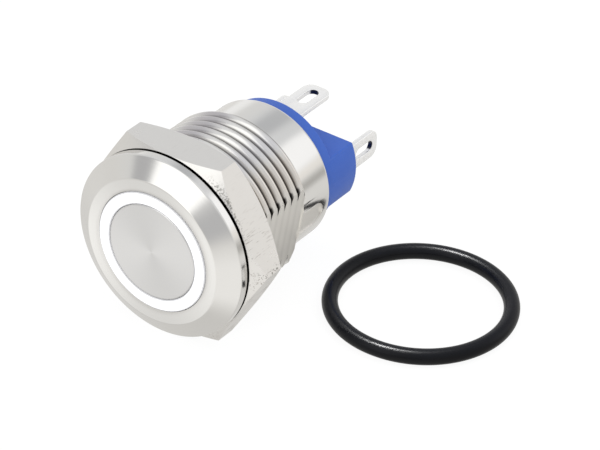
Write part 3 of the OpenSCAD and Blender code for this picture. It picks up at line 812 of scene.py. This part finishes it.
def rearBase():
    look = baseLook
    start = barrel["sleeveEnd"]
    rimEnd = start + look["rimThick"]
    barEnd = rimEnd + look["barHeight"]
    edge = look["edge"]
    points = [(look["skirtInner"], look["skirtY"]), (look["rim"], look["skirtY"])] + quarter(look["rim"] - edge, rimEnd - edge, edge, 0, 90, 3) \
        + [(0, rimEnd), (0, start), (look["skirtInner"], start)]
    base = meshObject("rearBase", latheProfile(points, 192))
    half = look["barWidth"] / 2
    reach = math.sqrt(look["rim"] ** 2 - half ** 2)
    swing = math.asin(half / look["rim"])
    arc = [(look["rim"] * math.cos(a), look["rim"] * math.sin(a))
           for a in [-swing + 2 * swing * i / 24 for i in range(25)]]
    outline = arc + [(-x, z) for x, z in reversed(arc)]
    bm = bmesh.new()
    face = bm.faces.new([bm.verts.new((x, start + 0.3, z)) for x, z in outline])
    extruded = bmesh.ops.extrude_face_region(bm, geom=[face])
    bmesh.ops.translate(bm, verts=[v for v in extruded["geom"] if isinstance(v, bmesh.types.BMVert)],
                        vec=(0, barEnd - start - 0.3, 0))
    bmesh.ops.recalc_face_normals(bm, faces=bm.faces)
    softenEdges(bm, edge, 3, math.radians(40))
    combine(base, meshObject("bar", bm), "UNION")
    gap = look["slotGap"]
    w, t = bladeLook["width"] / 2 + gap, bladeLook["thick"] / 2 + gap
    for side in (-1, 1):
        x = side * bladeLook["switchX"]
        combine(base, blockObject("slot", (x - t, start - 1, -w), (x + t, barEnd + 1, w)), "DIFFERENCE")
        z = side * bladeLook["lampZ"]
        combine(base, blockObject("slot", (-w, start - 1, z - t), (w, barEnd + 1, z + t)), "DIFFERENCE")
    print("bar reaches", round(reach, 2), "mm each side")
    return base


basePiece = finishPiece(rearBase(), materials["basePlastic"], "housing", ["rear_base"], 40)
print("rear base made")


# the two coils inside

coilLook = {
    "return": {"mean": 1.25, "wire": 0.175, "turns": 5, "start": 8.87, "end": 12.43},
    "contact": {"mean": 0.9, "wire": 0.125, "turns": 5, "start": 5.02, "end": 8.03},
}


def coilSpring(name, look):
    steps = 28 * look["turns"]
    rise = look["end"] - look["start"] - 2 * look["wire"]
    bm = bmesh.new()
    bmesh.ops.create_circle(bm, cap_ends=True, segments=12, radius=look["wire"])
    bmesh.ops.translate(bm, verts=bm.verts, vec=(look["mean"], look["start"] + look["wire"], 0))
    bmesh.ops.spin(bm, geom=bm.verts[:] + bm.edges[:] + bm.faces[:], cent=(0, 0, 0), axis=(0, 1, 0),
                   dvec=(0, rise / steps, 0), angle=math.tau * look["turns"], steps=steps,
                   use_merge=False, use_duplicate=False)
    bmesh.ops.remove_doubles(bm, verts=bm.verts, dist=1e-5)
    bmesh.ops.recalc_face_normals(bm, faces=bm.faces)
    return meshObject(name, bm)


returnSpring = finishPiece(coilSpring("returnSpring", coilLook["return"]), materials["springSteel"], "housing",
                           ["return_spring"], 60)
contactSpring = finishPiece(coilSpring("contactSpring", coilLook["contact"]), materials["springSteel"], "button",
                            ["contact_spring"], 60)
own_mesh(returnSpring)
print("springs made")


# finishes of the inner nodes that keep their solids

innerFinishes = {
    "plunger_seal": "wiperRubber", "pusher": "ivoryPlastic", "contact_bridge": "contactBrass",
    "bridge_contacts": "contactSilver", "fixed_contacts": "contactSilver", "led_board": "boardGreen",
    "leds": "lampYellow", "led_resistors": "chipBlack", "led_lead_top": "terminalTin",
    "led_lead_bottom": "terminalTin", "contact_cage": "ivoryPlastic", "sealing_resin": "pottingResin",
}
for node, finish in innerFinishes.items():
    for slotOf in nodes[node].material_slots:
        slotOf.material = materials[finish]
    if not nodes[node].material_slots:
        nodes[node].data.materials.append(materials[finish])


# floor, light and camera

studio = {
    "floorSize": 3.0,
    "floorWhite": 0.92,
    "ambient": 1.0,
}
view = {
    "azimuth": 34.823,
    "elevation": 34.032,
    "roll": 1.929,
    "distance": 280.0,
    "focalPixels": 3195.4,
    "frameWidth": 600,
    "frameHeight": 450,
    "faceCentre": (152.314, 257.436),   # pixel of the pressed face's centre before the roll
}


def makeFloor():
    bm = bmesh.new()
    bmesh.ops.create_grid(bm, x_segments=2, y_segments=2, size=studio["floorSize"] / mm)
    bmesh.ops.translate(bm, verts=bm.verts, vec=(0, 0, sealLook["floor"] - 0.01))
    floor = meshObject("studioFloor", bm)
    floor.data.transform(Matrix.Scale(mm, 4))
    material = bpy.data.materials.new("floorPaper")
    material.use_nodes = True
    tree = material.node_tree
    tree.nodes.clear()
    out = tree.nodes.new("ShaderNodeOutputMaterial")
    paper = tree.nodes.new("ShaderNodeBsdfDiffuse")
    paper.inputs["Color"].default_value = (studio["floorWhite"],) * 3 + (1,)
    glow = tree.nodes.new("ShaderNodeEmission")
    path = tree.nodes.new("ShaderNodeLightPath")
    mix = tree.nodes.new("ShaderNodeMixShader")
    glow.inputs["Strength"].default_value = 1.06
    share = mathNode(tree, "MULTIPLY", path.outputs["Is Camera Ray"], 0.86)
    tree.links.new(share, mix.inputs[0])
    tree.links.new(paper.outputs[0], mix.inputs[1])
    tree.links.new(glow.outputs[0], mix.inputs[2])
    tree.links.new(mix.outputs[0], out.inputs["Surface"])
    floor.data.materials.append(material)
    floor.visible_glossy = False
    return floor


def rampNode(tree, value, stops):
    node = tree.nodes.new("ShaderNodeValToRGB")
    node.color_ramp.interpolation = "EASE"
    elements = node.color_ramp.elements
    while len(elements) < len(stops):
        elements.new(0.5)
    for element, (place, color) in zip(elements, stops):
        element.position = place
        element.color = color + (1,)
    tree.links.new(value, node.inputs[0])
    return node.outputs[0]


# The room as bare metal sees it: tones by height above the horizon in degrees, then cards and dark
# openings, each with its bearings, its heights, the softness of both and its tone.
roomTones = [(-90, (0.70, 0.69, 0.67)), (-55, (0.70, 0.69, 0.67)), (-38, (0.74, 0.73, 0.71)),
             (-18, (0.82, 0.81, 0.79)), (0, (0.80, 0.79, 0.77)), (12, (0.80, 0.80, 0.79)), (25, (0.80, 0.80, 0.80)),
             (40, (0.765, 0.775, 0.79)), (60, (0.85, 0.855, 0.87)), (90, (1.0, 1.0, 1.0))]
roomCards = {
    "tableGlow": ((-100, -24), (-58, -14), (36, 24), (1.0, 0.99, 0.97)),
    "faceGlow": ((-146, -104), (-52, -18), (24, 16), (0.97, 0.965, 0.95)),
    "frontDark": ((-86, -50), (-4, 15), (6, 12), (0.56, 0.56, 0.57)),
    "leftDark": ((-142, -128), (8, 40), (6, 10), (0.52, 0.52, 0.53)),
    "keyBox": ((-125, -84), (12, 75), (5, 3), (1.35, 1.35, 1.34)),
    "nutKey": ((-106, -87), (4, 17), (4, 4), (1.6, 1.6, 1.58)),
    "backDark": ((30, 54), (-10, -1), (10, 8), (0.50, 0.49, 0.47)),
    "sideGlow": ((32, 54), (3, 13), (10, 6), (0.96, 0.93, 0.89)),
    "backBox": ((30, 68), (12, 41), (12, 10), (1.14, 1.14, 1.15)),
    "topDark": ((88, 118), (34, 60), (18, 14), (0.56, 0.57, 0.59)),
    "sideBox": ((120, 156), (-4, 14), (14, 12), (1.0, 1.0, 1.0)),
}


def makeWorld():
    world = bpy.data.worlds.new("studioWorld")
    bpy.context.scene.world = world
    world.use_nodes = True
    tree = world.node_tree
    tree.nodes.clear()
    out = tree.nodes.new("ShaderNodeOutputWorld")
    coord = tree.nodes.new("ShaderNodeTexCoord")
    split = tree.nodes.new("ShaderNodeSeparateXYZ")
    tree.links.new(coord.outputs["Generated"], split.inputs[0])
    degrees = 180 / math.pi
    rise = mathNode(tree, "MULTIPLY", mathNode(tree, "ARCSINE", split.outputs["Z"]), degrees)
    bearing = mathNode(tree, "MULTIPLY", mathNode(tree, "ARCTAN2", split.outputs["Y"], split.outputs["X"]), degrees)
    height = mathNode(tree, "ADD", mathNode(tree, "DIVIDE", rise, 180.0), 0.5)
    room = rampNode(tree, height, [((rises + 90) / 180, tone) for rises, tone in roomTones])
    for bearings, rises, soft, tone in roomCards.values():
        card = product(tree, band(tree, bearing, *bearings, soft[0]), band(tree, rise, *rises, soft[1]))
        room = mixColor(tree, card, room, tone + (1,))
    path = tree.nodes.new("ShaderNodeLightPath")
    seen = tree.nodes.new("ShaderNodeBackground")
    mirrored = tree.nodes.new("ShaderNodeBackground")
    ambient = tree.nodes.new("ShaderNodeBackground")
    ambient.inputs["Strength"].default_value = studio["ambient"]
    tree.links.new(room, mirrored.inputs["Color"])
    reflects = tree.nodes.new("ShaderNodeMixShader")
    tree.links.new(mathNode(tree, "MAXIMUM", path.outputs["Is Glossy Ray"], path.outputs["Is Transmission Ray"]),
                   reflects.inputs[0])
    tree.links.new(ambient.outputs[0], reflects.inputs[1])
    tree.links.new(mirrored.outputs[0], reflects.inputs[2])
    direct = tree.nodes.new("ShaderNodeMixShader")
    tree.links.new(path.outputs["Is Camera Ray"], direct.inputs[0])
    tree.links.new(reflects.outputs[0], direct.inputs[1])
    tree.links.new(seen.outputs[0], direct.inputs[2])
    tree.links.new(direct.outputs[0], out.inputs["Surface"])


def aim(obj, target):
    obj.rotation_euler = (Vector(target) - obj.location).to_track_quat("-Z", "Y").to_euler()


lamps = {
    # name: place, aim, size (metres), watts, whether glossy surfaces see it
    "frontBox": ((0.10, -0.75, 0.42), (0, 0, 0), (0.9, 0.45), 1.6, False),
    "topBox": ((0.15, 0.35, 0.8), (0, 0, 0), (0.7, 0.7), 1.2, False),
    "overSpot": ((-0.17, 0.02, 0.57), (0.017, 0.016, -0.009), (0.12, 0.08), 7.0, True),
}


def makeLamps():
    for name, (place, target, size, watts, mirrored) in lamps.items():
        data = bpy.data.lights.new(name, "AREA")
        data.shape = "RECTANGLE"
        data.size, data.size_y = size
        data.energy = watts
        lamp = bpy.data.objects.new(name, data)
        lamp.location = place
        bpy.context.scene.collection.objects.link(lamp)
        lamp.visible_camera = False
        lamp.visible_glossy = mirrored
        aim(lamp, target)
        if mirrored:
            # this one only puts the soft glints on the black seal
            only = bpy.data.collections.new(name + "Receivers")
            only.objects.link(sealPiece)
            lamp.light_linking.receiver_collection = only


def makeCamera():
    azimuth, elevation = math.radians(view["azimuth"]), math.radians(view["elevation"])
    right = Vector((math.cos(azimuth), math.sin(azimuth), 0))
    ahead = Vector((-math.sin(azimuth) * math.cos(elevation), math.cos(azimuth) * math.cos(elevation),
                    -math.sin(elevation)))
    up = right.cross(ahead)
    perPixel = view["distance"] / view["focalPixels"]
    across = (view["faceCentre"][0] - view["frameWidth"] / 2) * perPixel
    above = (view["frameHeight"] / 2 - view["faceCentre"][1]) * perPixel
    face = Vector((0, -barrel["flangeThick"], 0))
    place = face - across * right - above * up - view["distance"] * ahead
    data = bpy.data.cameras.new("camera")
    data.sensor_width = 36.0
    data.lens = view["focalPixels"] * data.sensor_width / view["frameWidth"]
    data.clip_start = 0.005
    camera = bpy.data.objects.new("camera", data)
    camera.location = place * mm
    turned = Matrix((right, up, -ahead)).transposed().to_4x4() @ Matrix.Rotation(math.radians(view["roll"]), 4, "Z")
    camera.rotation_euler = turned.to_euler()
    bpy.context.scene.collection.objects.link(camera)
    bpy.context.scene.camera = camera


makeFloor()
makeWorld()
makeLamps()
makeCamera()
bpy.context.scene.view_settings.view_transform = "Standard"
print("studio made")
